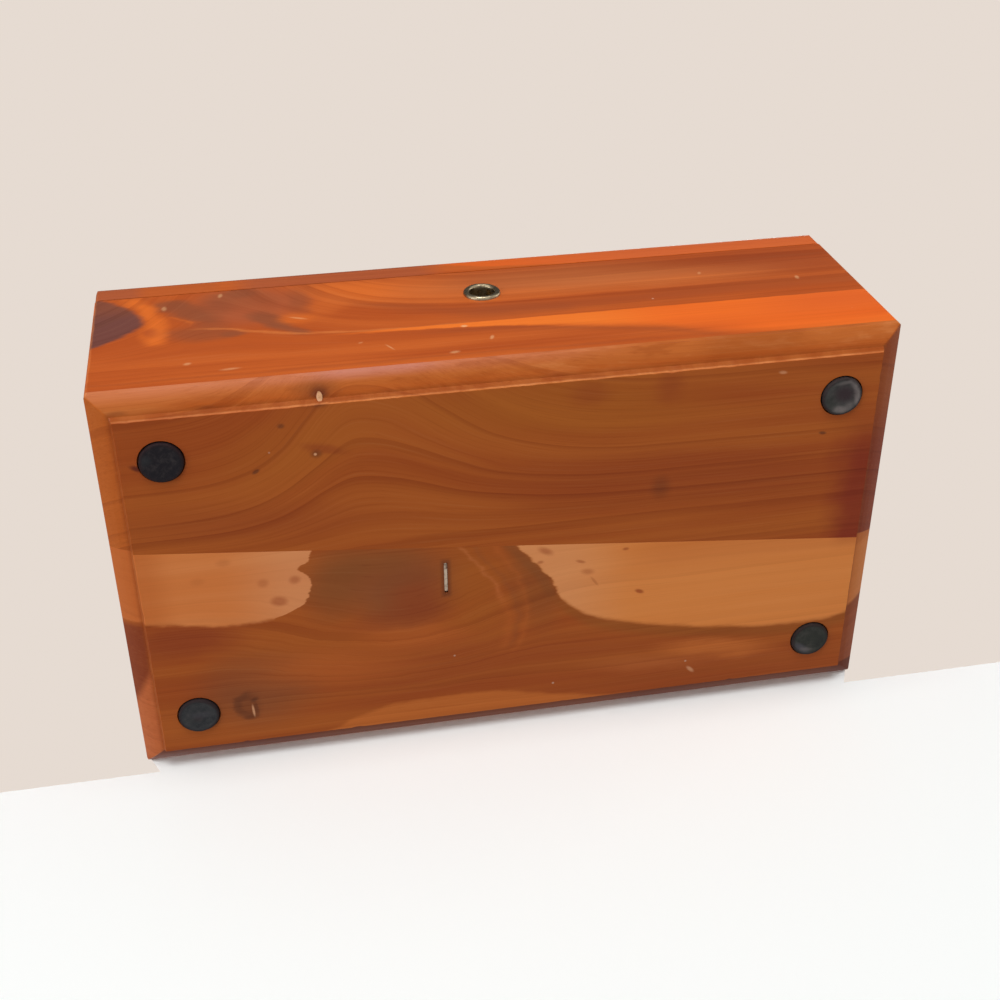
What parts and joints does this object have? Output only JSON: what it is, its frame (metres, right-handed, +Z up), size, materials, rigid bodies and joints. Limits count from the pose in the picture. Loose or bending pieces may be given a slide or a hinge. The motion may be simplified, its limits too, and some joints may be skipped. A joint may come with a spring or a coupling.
{
  "type": "hinged lid keepsake chest",
  "caption": "Small rectangular solid cedar chest on round rubber feet, with a thick rounded hinged lid, a bevelled base and a round metal keyhole with a lock in the front wall.",
  "frame": {"origin": "on the surface that the feet stand on, midway between the ends and midway from front to rear", "axes": "+X along the length, to the right seen from the front; the front with its keyhole faces -Y; +Z up"},
  "size_m": [0.232, 0.1291, 0.084],
  "materials": {
    "cedar": "clear satin lacquer on red cedar",
    "cedar_base": "thin satin lacquer on red cedar",
    "foot_rubber": "worn matt black rubber",
    "hinge_brass": "aged brass plate",
    "screw_brass": "aged brass plate",
    "eyelet_nickel": "aged nickel plate",
    "bright_wire": "dull bright wire",
    "lock_steel": "brass washed steel"
  },
  "bodies": {
    "chest": {"front_wall": "cedar", "rear_wall": "cedar", "left_end": "cedar", "right_end": "cedar", "base_board_front": "cedar_base", "base_board_rear": "cedar_base", "foot_front_left": "foot_rubber", "foot_front_right": "foot_rubber", "foot_rear_left": "foot_rubber", "foot_rear_right": "foot_rubber", "base_staple": "bright_wire", "base_brad": "bright_wire", "keyhole_eyelet": "eyelet_nickel", "lock_back_plate": "lock_steel", "lock_cover_plate": "lock_steel", "lock_guide_posts": "lock_steel", "key_pin": "lock_steel", "lock_spring": "lock_steel", "lock_screws": "lock_steel", "hinge_left_wall_leaf": "hinge_brass", "hinge_right_wall_leaf": "hinge_brass", "hinge_left_pin": "hinge_brass", "hinge_right_pin": "hinge_brass", "hinge_wall_screws": "screw_brass"},
    "lid": {"lid_board_front": "cedar", "lid_board_rear": "cedar", "striker_plate": "lock_steel", "striker_screws": "lock_steel", "hinge_left_lid_leaf": "hinge_brass", "hinge_right_lid_leaf": "hinge_brass", "hinge_lid_screws": "screw_brass"},
    "lock_bolt": {"lock_bolt": "lock_steel"}
  },
  "joints": [
    {"name": "lid_hinge", "type": "hinge", "parent": "chest", "child": "lid", "pos_m": [0, 0.0614, 0.0692], "axis": [-1, 0, 0], "range_deg": [0, 100]},
    {"name": "bolt_slide", "type": "slide", "parent": "chest", "child": "lock_bolt", "axis": [1, 0, 0], "range_m": [0, 0.003]}
  ]
}
